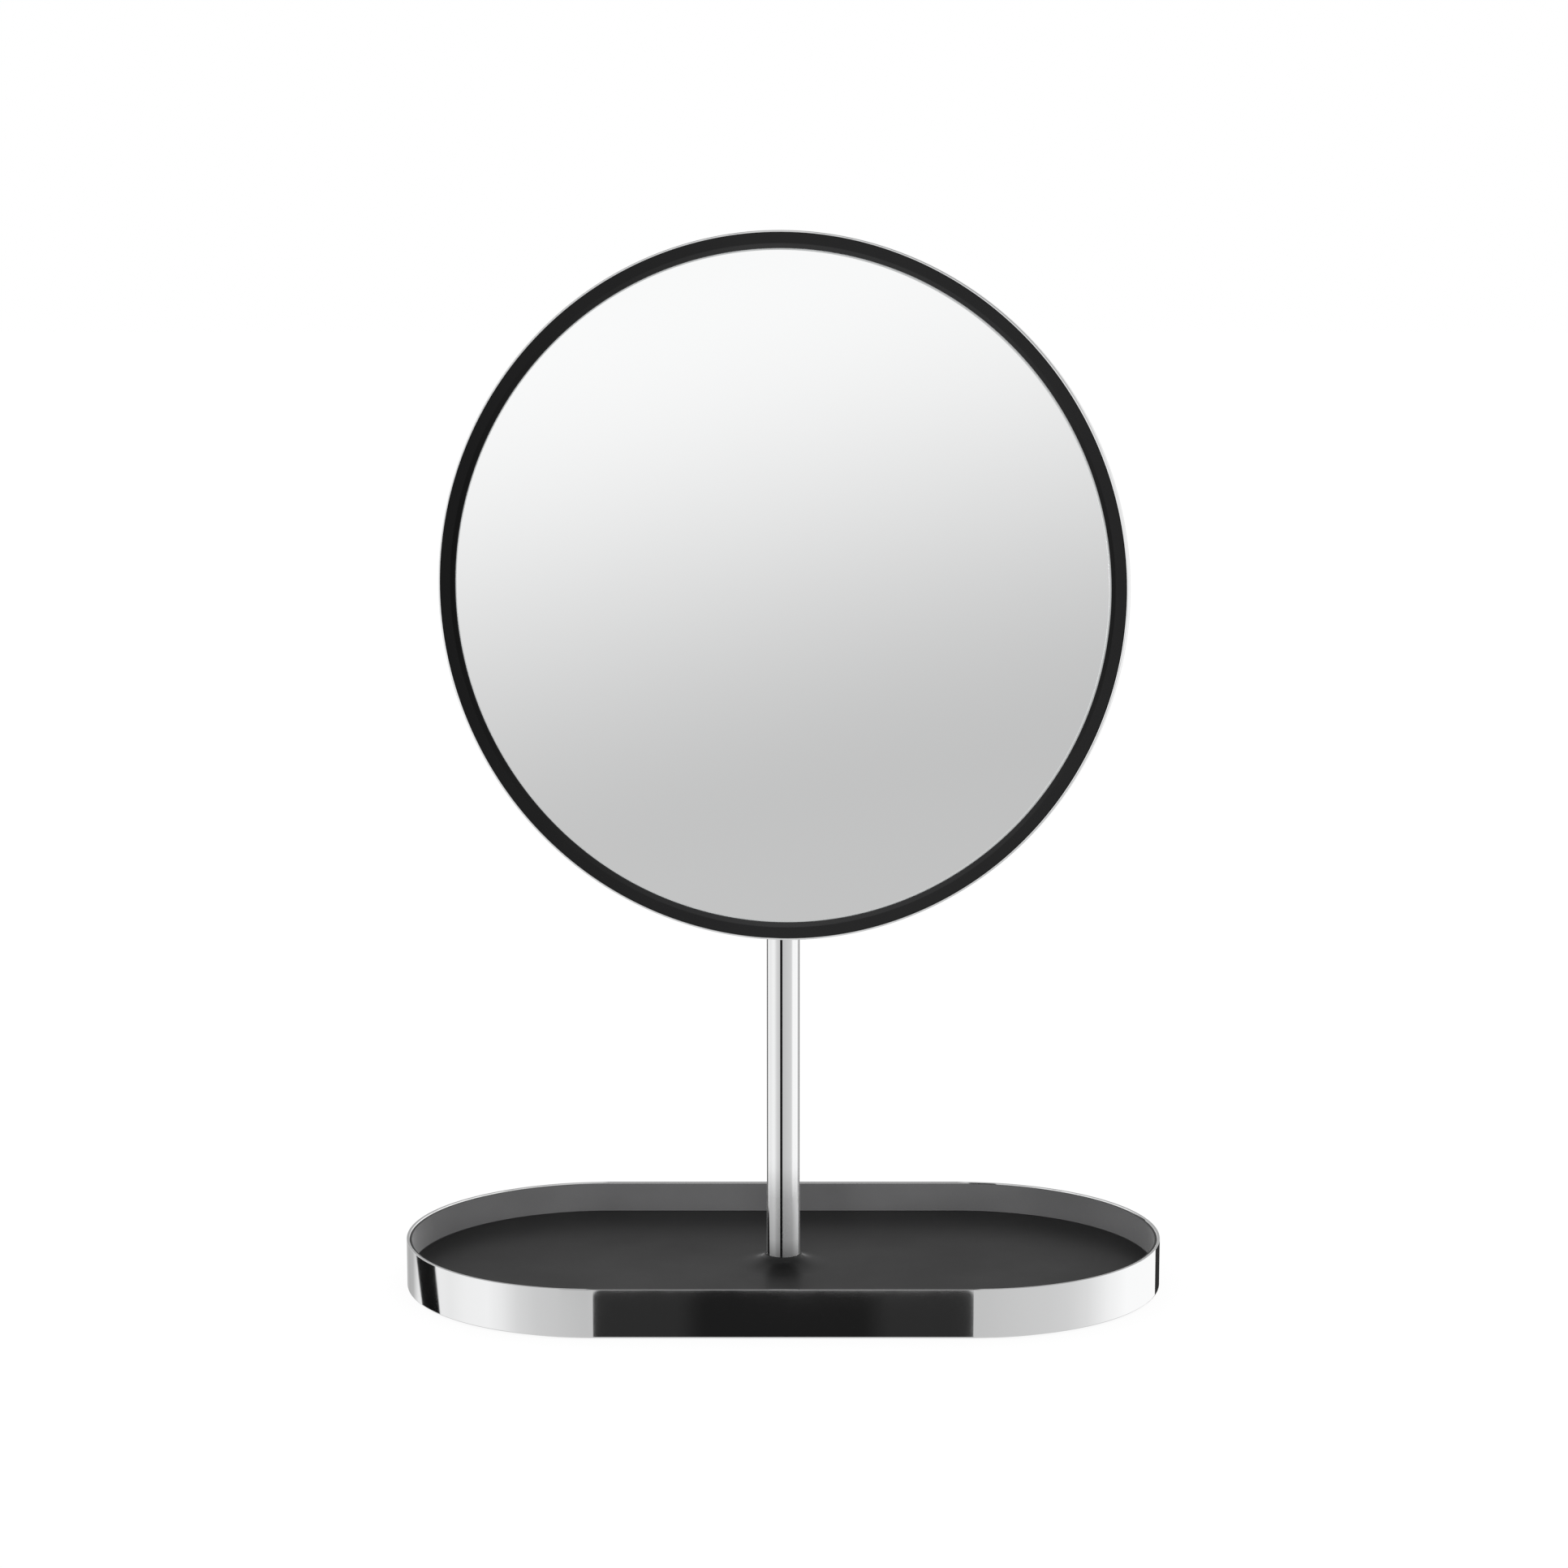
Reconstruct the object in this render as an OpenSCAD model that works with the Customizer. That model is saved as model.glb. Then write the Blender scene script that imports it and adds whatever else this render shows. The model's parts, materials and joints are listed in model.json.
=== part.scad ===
/* [Tray] */
// Width of the tray, left to right
tray_w = 230; // [200:1:280]
// Depth of the tray, front to back
tray_d = 119; // [100:1:150]
// Height of the polished band above the anti-slip pad
tray_h = 14.6; // [12:0.2:24]
// Thickness of the polished band
band_t = 0.8; // [0.6:0.1:1.2]
// Width of the foot flange that is turned in under the band
flange_w = 6; // [4:0.5:10]
// Height of the tray's black floor above the pad
floor_h = 5.4; // [5:0.1:7]
// Thickness of the black liner
liner_t = 0.8; // [0.6:0.1:1]
// Thickness of the anti-slip pad under the tray
pad_t = 0.6; // [0.4:0.1:1.5]
// Height of the flared boss above the tray's floor
boss_h = 3; // [2:0.5:5]
// Radius of the boss's flare where it meets the tray's floor
boss_foot_r = 15; // [12:0.5:20]

/* [Post] */
// Outer diameter of the post
post_dia = 10; // [10:0.5:12]
// Wall thickness of the post
post_wall = 1; // [0.8:0.1:1]
// Height of the post's top above the pad
post_top_h = 107.8; // [90:0.2:150]
// Rounding of the post's top edge
post_round = 0.4; // [0.3:0.1:0.9]
// Length of the threaded insert in the post's foot
insert_len = 14; // [10:1:20]

/* [Mirror head] */
// Diameter of the mirror glass
glass_dia = 199.2; // [180:0.2:240]
// Thickness of the mirror glass
glass_t = 3; // [3:0.5:4]
// Visible width of the black ring, from the glass to the polished lip
ring_w = 4.65; // [4:0.05:8]
// Depth of the head, front to back
head_d = 20.9; // [20.5:0.1:26]
// Radius between the head's side and its flat back
head_round = 18.5; // [15:0.1:18.6]
// Wall thickness of the head's pan
shell_t = 0.6; // [0.5:0.1:0.8]
// Distance from the front of the lip back to the tilt pivot
pivot_depth = 14.8; // [14.6:0.1:15.2]
// Height of the tilt pivot above the lowest point of the head
pivot_rise = 14.4; // [14:0.1:16]

/* [Pose] */
// Turn of the head to the left in the rest pose, in degrees
rest_swivel = 13.3; // [-90:0.1:90]
// Lean of the head to the back in the rest pose, in degrees
rest_tilt = 3.6; // [-5:0.1:15]

/* [Hinge] */
// Diameter of the swivel stem
stem_dia = 5; // [4.5:0.1:5.2]
// Diameter of the hinge bolt and of the small screws
bolt_dia = 3; // [2.5:0.1:3]
// Radius of the hinge eye on the stem
eye_r = 4.2; // [4:0.1:4.3]
// Width of the hinge eye
eye_w = 6; // [5:0.5:6.5]
// Thickness of the bracket's two ears
ear_t = 1.6; // [1.2:0.1:2]

/* [Hidden] */
$fn = 128;

// Clearances: between parts that touch, parts that turn, past the end of a cut, round a bolt
// and round a countersunk head
gap = 0.03;
run = 0.05;
past = 1;
bolt_clear = 0.2;
sink_clear = 0.1;
hex = 6;

// Colours
polished = [0.82, 0.83, 0.84];
black = [0.13, 0.13, 0.135];
zinc = [0.62, 0.64, 0.66];
brass = [0.78, 0.62, 0.32];
nylon = [0.9, 0.9, 0.86];
foam = [0.35, 0.36, 0.38];
silver = [0.9, 0.92, 0.94];

// Tray heights above the ground
band_top = pad_t + tray_h;
flange_share = 0.8;
flange_t = band_t * flange_share;
floor_z = pad_t + floor_h;
plate_bottom = pad_t + flange_t + gap;
plate_top = floor_z - liner_t - gap;
liner_drop = 0.3;
pad_inset = 2;
edge_round = 0.15;

// Post
post_r = post_dia / 2;
bore_r = post_r - post_wall;
post_bottom = plate_top + gap;
post_top = pad_t + post_top_h;
boss_clear = 0.1;
boss_lip = 0.75;
boss_rim_r = post_r + boss_lip;
base_screw_r = 2.45;
base_screw_head_r = 4.6;
base_screw_head_h = 2.6;
base_hole_clear = 0.3;
base_screw_short = 2;
base_socket_r = 1.7;
base_socket_d = 1.8;

// Head, in its own frame: origin at the tilt pivot, glass facing -Y, +Z up
glass_r = glass_dia / 2;
glass_gap = 0.15;
ring_in_r = glass_r + glass_gap;
ring_out_r = ring_in_r + ring_w - glass_gap;
shell_in_r = ring_out_r + gap;
shell_out_r = shell_in_r + shell_t;
head_z = shell_out_r - pivot_rise;
lip_d = head_d - head_round;
ring_recess = 0.15;
ring_step = 0.35;
ring_t = 1.2;
ring_skirt_d = lip_d;
ring_flat_w = 3.1;
glass_recess = 0.4;
glass_bevel = 0.5;
glass_back_d = glass_recess + glass_t;
foam_d = 1;
foam_inset = 4;
plate_front_d = glass_back_d + foam_d + 2 * gap;
plate_d = 1.6;
plate_clear = 0.3;
plate_back_d = plate_front_d + plate_d;
back_in_d = head_d - shell_t;

// Swivel
collar_clear = 0.2;
collar_r = bore_r - collar_clear;
collar_h = 1;
collar_drop = 0.2;
washer_t = 0.5;
bush_len = 18;
stem_r = stem_dia / 2;
bolt_r = bolt_dia / 2;
head_gap = 0.6;
pivot_z = post_top + head_gap + pivot_rise;
collar_top = post_top - collar_drop;
thrust_top = collar_top - collar_h - gap;
bush_top = thrust_top - washer_t - gap;
bush_bottom = bush_top - bush_len;
stem_step = bush_bottom - 2 * gap - washer_t;
spring_t = 0.8;
spring_slit = 0.8;
spring_turn = 20;
nut_h = 2.4;
nut_flats = 5.5;
nut_r = nut_flats / 2 / cos(180 / hex);
thread_past = 2.5;
stem_end = bush_bottom - washer_t - spring_t - nut_h - thread_past;

// Slot in the pan for the stem
slot_front = 4.8;
slot_back = 4.9;
slot_clear = 0.4;
slot_half_w = stem_r + slot_clear;
slot_top = 2;

// Hinge, along X
washer_x = eye_w / 2 + gap;
ear_in = washer_x + washer_t + gap;
ear_out = ear_in + ear_t;
ear_inset = 0.2;
ear_r = eye_r - ear_inset;
bracket_plate_t = 1.2;
bracket_w = 20;
bracket_low = 6.5;
bracket_high = 42;
ear_front = 5.5;
ear_high = 13;
stud_low = 21;
stud_high = 35;
stud_len = 6;
standoff_r = 3.5;
standoff_ring = 60;
standoff_count = 4;
small_socket_r = 1.15;
small_socket_d = 0.9;
small_screw_len = 8;
tapped_len = 9;

// Places the stem's pivot frame, turned with the head
module at_stem() {
    translate([0, 0, pivot_z]) rotate([0, 0, -rest_swivel]) children();
}

// Places the head's frame in the rest pose
module at_head() {
    at_stem() rotate([-rest_tilt, 0, 0]) children();
}

// Places a shape that is built along +Z from the lip, so that it runs back through the head
module from_lip() {
    at_head() translate([0, -pivot_depth, head_z]) rotate([-90, 0, 0]) children();
}

// Stadium outline of the tray, brought in by an amount all round
module stadium(inset) {
    reach = tray_w / 2 - tray_d / 2;
    square([2 * reach, tray_d - 2 * inset], center = true);
    for (side = [-1, 1]) translate([side * reach, 0]) circle(r = tray_d / 2 - inset);
}

// Stadium plate between two heights
module stadium_plate(inset, low, high) {
    translate([0, 0, low]) linear_extrude(high - low) stadium(inset);
}

// Ring or tube along +Z
module ring(outer_r, inner_r, h) {
    difference() {
        cylinder(r = outer_r, h = h);
        translate([0, 0, -past]) cylinder(r = inner_r, h = h + 2 * past);
    }
}

// Split spring washer along +Z
module spring_washer(outer_r, inner_r, h) {
    difference() {
        ring(outer_r, inner_r, h);
        rotate([0, 0, spring_turn]) translate([0, -spring_slit / 2, -past])
            cube([outer_r + past, spring_slit, h + 2 * past]);
    }
}

// Hex nut along +Z
module hex_nut(outer_r, inner_r, h) {
    difference() {
        cylinder(r = outer_r, h = h, $fn = hex);
        translate([0, 0, -past]) cylinder(r = inner_r, h = h + 2 * past);
    }
}

// Polished band, straight sided, with a flange turned in at its foot
module tray_hoop() {
    color(polished) difference() {
        union() {
            stadium_plate(0, pad_t, band_top - edge_round);
            stadium_plate(edge_round, band_top - edge_round - gap, band_top);
        }
        stadium_plate(band_t, pad_t + flange_t, band_top + past);
        stadium_plate(band_t + flange_w, 0, band_top);
    }
}

// Boss round the post, with a hollow flare that runs out into the floor
module boss_flare() {
    steps = 10;
    curve = [
        for (i = [0:steps]) let (a = 90 * i / steps)
            [boss_foot_r - (boss_foot_r - boss_rim_r) * sin(a), boss_h * (1 - cos(a))]
    ];
    foot = -liner_t / 2;
    rotate_extrude() polygon(concat([[0, foot], [boss_foot_r, foot]], curve, [[0, boss_h]]));
}

// Black tray: floor, inner wall and the boss round the post
module tray_liner() {
    wall_in = band_t + gap + liner_t;
    hole_h = boss_h + liner_t + 2 * past;
    color(black) difference() {
        union() {
            difference() {
                stadium_plate(band_t + gap, floor_z - liner_t, band_top - liner_drop);
                stadium_plate(wall_in, floor_z, band_top + past);
            }
            translate([0, 0, floor_z]) boss_flare();
        }
        translate([0, 0, floor_z - liner_t - past]) cylinder(r = post_r + boss_clear, h = hole_h);
    }
}

// Steel weight under the liner, with a countersunk hole for the post's screw
module ballast_plate() {
    sink_r = base_screw_head_r + sink_clear;
    color(zinc) difference() {
        stadium_plate(band_t + gap, plate_bottom, plate_top);
        translate([0, 0, plate_bottom - past]) cylinder(r = base_screw_r + base_hole_clear, h = plate_top);
        translate([0, 0, plate_bottom])
            cylinder(r1 = sink_r, r2 = base_screw_r + sink_clear, h = base_screw_head_h);
        translate([0, 0, plate_bottom - past]) cylinder(r = sink_r, h = past);
    }
}

// Anti-slip sheet under the foot
module base_pad() {
    color(foam) stadium_plate(pad_inset, 0, pad_t - gap);
}

// Tube from the ballast plate to just under the head
module post_tube() {
    color(polished) difference() {
        union() {
            translate([0, 0, post_bottom]) cylinder(r = post_r, h = post_top - post_round - post_bottom);
            translate([0, 0, post_top - post_round]) rotate_extrude() {
                square([post_r - post_round, post_round]);
                translate([post_r - post_round, 0]) intersection() {
                    circle(r = post_round);
                    square(post_round);
                }
            }
        }
        translate([0, 0, post_bottom - past]) cylinder(r = bore_r, h = post_top);
    }
}

// Threaded insert in the foot of the tube
module post_insert() {
    color(brass) translate([0, 0, post_bottom + gap]) ring(bore_r - gap, base_screw_r + run, insert_len);
}

// Countersunk screw from below, with a hexagon socket
module post_screw() {
    color(zinc) translate([0, 0, plate_bottom]) difference() {
        union() {
            cylinder(r1 = base_screw_head_r, r2 = base_screw_r, h = base_screw_head_h);
            cylinder(r = base_screw_r, h = insert_len + plate_top - plate_bottom - base_screw_short);
        }
        translate([0, 0, -past]) cylinder(r = base_socket_r, h = past + base_socket_d, $fn = hex);
    }
}

// Plain bush in the top of the tube
module swivel_bush() {
    color(brass) translate([0, 0, bush_bottom]) ring(bore_r - gap, stem_r + run, bush_len);
}

// Stem with a collar, a threaded end and the hinge eye
module swivel_stem() {
    color(zinc) at_stem() difference() {
        union() {
            rotate([0, 90, 0]) cylinder(r = eye_r, h = eye_w, center = true);
            translate([0, 0, stem_step - pivot_z]) cylinder(r = stem_r, h = pivot_z - stem_step);
            translate([0, 0, collar_top - collar_h - pivot_z]) cylinder(r = collar_r, h = collar_h);
            translate([0, 0, stem_end - pivot_z]) cylinder(r = bolt_r, h = pivot_z - stem_end);
        }
        rotate([0, 90, 0]) cylinder(r = bolt_r + run, h = eye_w + 2 * past, center = true);
    }
}

// Washer that the stem's collar turns on
module thrust_washer() {
    color(nylon) translate([0, 0, thrust_top - washer_t]) ring(collar_r, stem_r + run, washer_t);
}

// Washer under the bush
module stem_washer() {
    color(nylon) translate([0, 0, bush_bottom - gap - washer_t]) ring(collar_r, stem_r + run, washer_t);
}

// Spring washer that sets the swivel's friction
module stem_spring() {
    color(zinc) at_stem() translate([0, 0, stem_step - gap - spring_t - pivot_z])
        spring_washer(nut_r, bolt_r + run, spring_t);
}

// Lock nut on the stem
module stem_nut() {
    color(zinc) at_stem() translate([0, 0, stem_step - 2 * gap - spring_t - nut_h - pivot_z])
        hex_nut(nut_r, bolt_r + run, nut_h);
}

// Outline of the pan's half section: radius across, depth along Y
module pan_section(out_r, depth, round_r) {
    square([out_r - round_r, depth]);
    square([out_r, depth - round_r]);
    translate([out_r - round_r, depth - round_r]) intersection() {
        circle(r = round_r);
        square(round_r);
    }
}

// Polished pan with a slot at its lowest point for the stem
module head_shell() {
    color(polished) difference() {
        from_lip() difference() {
            rotate_extrude() pan_section(shell_out_r, head_d, head_round);
            translate([0, 0, -past]) cylinder(r = shell_in_r, h = past + lip_d);
            rotate_extrude() pan_section(shell_in_r, back_in_d, head_round - shell_t);
        }
        at_head() translate([-slot_half_w, -slot_front, -pivot_rise - past])
            cube([2 * slot_half_w, slot_front + slot_back, pivot_rise + past + slot_top]);
    }
}

// Black ring: a flat outer face, a shallow inner slope and a skirt pressed into the pan
module bezel_ring() {
    slope_r = ring_out_r - ring_flat_w;
    color(black) from_lip() rotate_extrude() polygon([
        [ring_out_r, ring_recess],
        [slope_r, ring_recess],
        [ring_in_r, ring_recess + ring_step],
        [ring_in_r, ring_recess + ring_step + ring_t],
        [ring_out_r - ring_t, ring_recess + ring_step + ring_t],
        [ring_out_r - ring_t, ring_skirt_d],
        [ring_out_r, ring_skirt_d]
    ]);
}

// Silvered glass with a ground front edge
module mirror_glass() {
    color(silver) from_lip() rotate_extrude() polygon([
        [0, glass_recess],
        [glass_r - glass_bevel, glass_recess],
        [glass_r, glass_recess + glass_bevel],
        [glass_r, glass_back_d],
        [0, glass_back_d]
    ]);
}

// Foam adhesive disc behind the glass
module mounting_pad() {
    color(foam) from_lip() translate([0, 0, glass_back_d + gap])
        cylinder(r = glass_r - foam_inset, h = foam_d);
}

// Repeats its child at each standoff, built along +Z from the lip
module at_standoffs() {
    for (i = [0:standoff_count - 1])
        rotate([0, 0, 360 / standoff_count * (i + 0.5)]) translate([standoff_ring, 0, 0]) children();
}

// Plate behind the glass, with countersunk holes
module carrier_plate() {
    color(zinc) from_lip() difference() {
        translate([0, 0, plate_front_d]) cylinder(r = ring_out_r - ring_t - plate_clear, h = plate_d);
        at_standoffs() {
            translate([0, 0, plate_front_d - past]) cylinder(r = bolt_r + bolt_clear, h = plate_d + 2 * past);
            translate([0, 0, plate_front_d - gap])
                cylinder(r1 = 2 * bolt_r + sink_clear + gap, r2 = bolt_r + sink_clear, h = bolt_r + gap);
        }
    }
}

// Countersunk screws that hold the plate on the standoffs
module carrier_screws() {
    color(zinc) from_lip() at_standoffs() translate([0, 0, plate_front_d]) difference() {
        union() {
            cylinder(r1 = 2 * bolt_r, r2 = bolt_r, h = bolt_r);
            cylinder(r = bolt_r, h = small_screw_len);
        }
        translate([0, 0, -past]) cylinder(r = small_socket_r, h = past + small_socket_d, $fn = hex);
    }
}

// Threaded posts on the inside of the pan's back
module standoffs() {
    low = plate_back_d + gap;
    color(zinc) from_lip() at_standoffs() translate([0, 0, low]) difference() {
        cylinder(r = standoff_r, h = back_in_d - gap - low);
        translate([0, 0, -past]) cylinder(r = bolt_r + run, h = past + tapped_len);
    }
}

// One ear of the bracket: round at the pivot, straight at the plate
module ear_profile(plate_y) {
    circle(r = ear_r);
    polygon([
        [-ear_r, 0],
        [0, ear_front],
        [0, ear_high],
        [plate_y, ear_high],
        [plate_y, bracket_low],
        [ear_r, 0]
    ]);
}

// Bracket with two ears, on the inside of the pan's back
module hinge_bracket() {
    plate_y = back_in_d - pivot_depth - gap - bracket_plate_t;
    color(zinc) at_head() difference() {
        union() {
            translate([-bracket_w / 2, plate_y, bracket_low])
                cube([bracket_w, bracket_plate_t, bracket_high - bracket_low]);
            for (x = [ear_in, -ear_out])
                translate([x, 0, 0]) rotate([90, 0, 90]) linear_extrude(ear_t) ear_profile(plate_y + gap);
        }
        rotate([0, 90, 0]) cylinder(r = bolt_r + run, h = bracket_w, center = true);
        for (z = [stud_low, stud_high])
            translate([0, 0, z]) rotate([-90, 0, 0]) cylinder(r = bolt_r + bolt_clear, h = pivot_depth);
    }
}

// Welded studs that carry the bracket
module bracket_studs() {
    color(zinc) at_head() for (z = [stud_low, stud_high])
        translate([0, back_in_d - pivot_depth - gap - stud_len, z]) rotate([-90, 0, 0])
            cylinder(r = bolt_r, h = stud_len);
}

// Nuts on the welded studs
module bracket_nuts() {
    nut_y = back_in_d - pivot_depth - 2 * gap - bracket_plate_t;
    color(zinc) at_head() for (z = [stud_low, stud_high])
        translate([0, nut_y, z]) rotate([90, 0, 0]) hex_nut(nut_r, bolt_r + run, nut_h);
}

// Pivot bolt with a socket head
module hinge_bolt() {
    head_r = 2.75;
    head_h = 2.4;
    socket_r = 1.4;
    socket_d = 1.3;
    end_past = 0.6;
    under_head = ear_out + gap;
    bolt_end = ear_out + spring_t + nut_h + end_past;
    color(zinc) at_head() rotate([0, 90, 0]) translate([0, 0, -under_head - head_h]) difference() {
        union() {
            cylinder(r = head_r, h = head_h);
            cylinder(r = bolt_r, h = head_h + under_head + bolt_end);
        }
        translate([0, 0, -past]) cylinder(r = socket_r, h = past + socket_d, $fn = hex);
    }
}

// Nut on the pivot bolt
module hinge_nut() {
    color(zinc) at_head() rotate([0, 90, 0]) translate([0, 0, ear_out + spring_t + 2 * gap])
        hex_nut(nut_r, bolt_r + run, nut_h);
}

// Spring washer that sets the tilt's friction
module hinge_spring() {
    color(zinc) at_head() rotate([0, 90, 0]) translate([0, 0, ear_out + gap])
        spring_washer(nut_r, bolt_r + run, spring_t);
}

// Washers between the eye and the ears
module friction_washers() {
    color(nylon) at_head() for (x = [washer_x, -washer_x - washer_t])
        translate([x, 0, 0]) rotate([0, 90, 0]) ring(ear_r, bolt_r + run, washer_t);
}

tray_hoop();
tray_liner();
ballast_plate();
base_pad();
post_tube();
post_insert();
post_screw();
swivel_bush();
swivel_stem();
thrust_washer();
stem_washer();
stem_spring();
stem_nut();
head_shell();
bezel_ring();
mirror_glass();
mounting_pad();
carrier_plate();
carrier_screws();
standoffs();
hinge_bracket();
bracket_studs();
bracket_nuts();
hinge_bolt();
hinge_nut();
hinge_spring();
friction_washers();
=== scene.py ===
import json
import math

import bmesh
import bpy
import numpy as np
from mathutils import Matrix, Vector


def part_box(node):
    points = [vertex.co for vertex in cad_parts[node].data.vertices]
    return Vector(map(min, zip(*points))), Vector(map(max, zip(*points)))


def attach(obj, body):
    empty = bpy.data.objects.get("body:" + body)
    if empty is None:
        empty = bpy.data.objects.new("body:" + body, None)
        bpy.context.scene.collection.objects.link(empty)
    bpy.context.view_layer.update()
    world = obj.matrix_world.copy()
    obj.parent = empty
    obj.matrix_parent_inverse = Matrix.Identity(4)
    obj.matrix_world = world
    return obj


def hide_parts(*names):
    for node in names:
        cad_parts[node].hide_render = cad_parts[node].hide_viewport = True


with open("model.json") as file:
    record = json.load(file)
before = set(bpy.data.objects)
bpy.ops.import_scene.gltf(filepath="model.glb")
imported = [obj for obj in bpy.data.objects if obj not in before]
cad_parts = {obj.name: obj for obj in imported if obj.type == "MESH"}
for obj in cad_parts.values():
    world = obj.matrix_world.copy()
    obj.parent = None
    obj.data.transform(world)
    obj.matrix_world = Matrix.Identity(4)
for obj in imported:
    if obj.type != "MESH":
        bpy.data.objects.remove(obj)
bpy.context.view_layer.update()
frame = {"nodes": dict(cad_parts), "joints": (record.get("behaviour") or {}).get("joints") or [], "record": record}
nodes = frame["nodes"]
joints = {joint["name"]: joint for joint in frame["joints"]}

MM = 0.001

# Wall thicknesses and edges that the frame's boxes don't give; all are the CAD's own
BAND_T = 0.8 * MM
BAND_FLANGE_T = 0.64 * MM
BAND_FLANGE_W = 6.0 * MM
LINER_T = 0.8 * MM
BOSS_H = 3.0 * MM
BOSS_FOOT_R = 15.0 * MM
BOSS_LIP = 0.75 * MM
BOSS_CLEAR = 0.1 * MM
POST_WALL = 1.0 * MM
POST_ROUND = 0.4 * MM
PAN_WALL = 0.6 * MM
PAN_ROUND = 18.5 * MM
SLOT_FRONT = 4.8 * MM
SLOT_BACK = 4.9 * MM
SLOT_HALF_W = 2.9 * MM
RING_FLAT_W = 3.1 * MM
RING_T = 1.2 * MM
RING_STEP = 0.35 * MM
RING_GAP = 0.15 * MM
GLASS_BEVEL = 0.5 * MM

# Radii of small rounded edges, which are the visual pieces' own
CRISP = 0.1 * MM
SOFT = 0.2 * MM
FOLD = 0.3 * MM
BORE_ROUND = 0.15 * MM
BOSS_ROUND = 0.25 * MM
RING_RIDGE_ROUND = 0.4 * MM
RING_INNER_ROUND = 0.12 * MM

# Mesh fineness
ARC_STEPS = 6  # segments in a small rounded edge
HOLD = 0.05 * MM  # a flat face keeps its own normals this far from a rounded edge
CREASE = math.radians(32)  # faces that meet at more than this show an edge
TURN_STEPS = 256  # columns round the head
POST_STEPS = 128  # columns round the post
END_STEPS = 128  # columns round each end of the tray
SIDE_STEPS = 32  # columns along each straight side of the tray
FLARE_STEPS = 20  # rows up the boss
CORNER_STEPS = 24  # rows round the pan's corner
ON_AXIS = 1e-9  # metres: a smaller radius is a point on the axis
TOUCH = 1e-7  # metres: depths that differ by less are the same

# Camera: its distance and rise are from a point at CAMERA_FOOT's height under the post
CAMERA_DISTANCE = 1.2
CAMERA_RISE = math.radians(16.66)
CAMERA_PITCH = math.radians(9.39)  # how far it looks down
CAMERA_FOOT = 0.6 * MM
CAMERA_SIDE = 0.23 * MM  # how far it stands to the right
SENSOR_MM = 36.0
LENS_MM = 89.1


# ---------------------------------------------------------------- outlines

def arc(centre, radius, start, end, steps):
    """Points on an arc, from start to end in degrees."""
    points = []
    for i in range(steps + 1):
        angle = math.radians(start + (end - start) * i / steps)
        points.append((centre[0] + radius * math.cos(angle), centre[1] + radius * math.sin(angle)))
    return points


def rounded(corners, closed=True):
    """Outline through corners (x, y, radius), each rounded, with a point on the flat beside each round.

    The two ends of an open outline stay sharp.
    """
    outline = []
    count = len(corners)
    for i, (x, y, radius) in enumerate(corners):
        at_end = not closed and i in (0, count - 1)
        if radius <= 0 or at_end:
            outline.append((x, y))
            continue
        here = Vector((x, y))
        before = (Vector(corners[i - 1][:2]) - here).normalized()
        after = (Vector(corners[(i + 1) % count][:2]) - here).normalized()
        half = before.angle(after) / 2
        cut = radius / math.tan(half)
        centre = here + (before + after).normalized() * radius / math.sin(half)
        first = here + before * cut - centre
        last = here + after * cut - centre
        sweep = math.degrees(math.atan2(first.x * last.y - first.y * last.x, first.dot(last)))
        start = math.degrees(math.atan2(first.y, first.x))
        outline.append(tuple(here + before * (cut + HOLD)))
        outline += arc(centre, radius, start, start + sweep, ARC_STEPS)
        outline.append(tuple(here + after * (cut + HOLD)))
    return outline


# ---------------------------------------------------------------- meshes

def new_object(name, data):
    made = bpy.data.objects.new(name, data)
    bpy.context.scene.collection.objects.link(made)
    return made


def closed_mesh(name, points, faces):
    """Mesh of a closed surface, with every face turned outwards."""
    mesh = bpy.data.meshes.new(name)
    mesh.from_pydata([tuple(p) for p in points], [], faces)
    shape = bmesh.new()
    shape.from_mesh(mesh)
    bmesh.ops.recalc_face_normals(shape, faces=shape.faces)
    shape.to_mesh(mesh)
    shape.free()
    return mesh


def new_piece(name, points, faces, body, replaced, materials, face_slots=None):
    """Adds a closed mesh to the scene, riding on a CAD body and standing for a CAD node."""
    mesh = closed_mesh(name, points, faces)
    for material in materials:
        mesh.materials.append(material)
    if face_slots:
        mesh.polygons.foreach_set("material_index", face_slots)
    mesh.polygons.foreach_set("use_smooth", [True] * len(mesh.polygons))
    mesh.set_sharp_from_angle(angle=CREASE)
    mesh.update()
    mesh.validate()
    piece = new_object(name, mesh)
    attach(piece, body)
    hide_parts(replaced)
    return piece


def quad(near, far, j):
    """Face between two rows of point numbers, from column j to the next. Repeated points count once."""
    k = (j + 1) % len(near)
    return tuple(dict.fromkeys((near[j], near[k], far[k], far[j])))


def skin(loops):
    """Quads between closed loops of points; the last loop joins the first. Returns points and faces."""
    columns = len(loops[0])
    rows = [range(i * columns, (i + 1) * columns) for i in range(len(loops))]
    points = [point for loop in loops for point in loop]
    faces = []
    for i, row in enumerate(rows):
        after = rows[(i + 1) % len(rows)]
        faces += [quad(row, after, j) for j in range(columns)]
    return points, faces


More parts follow.
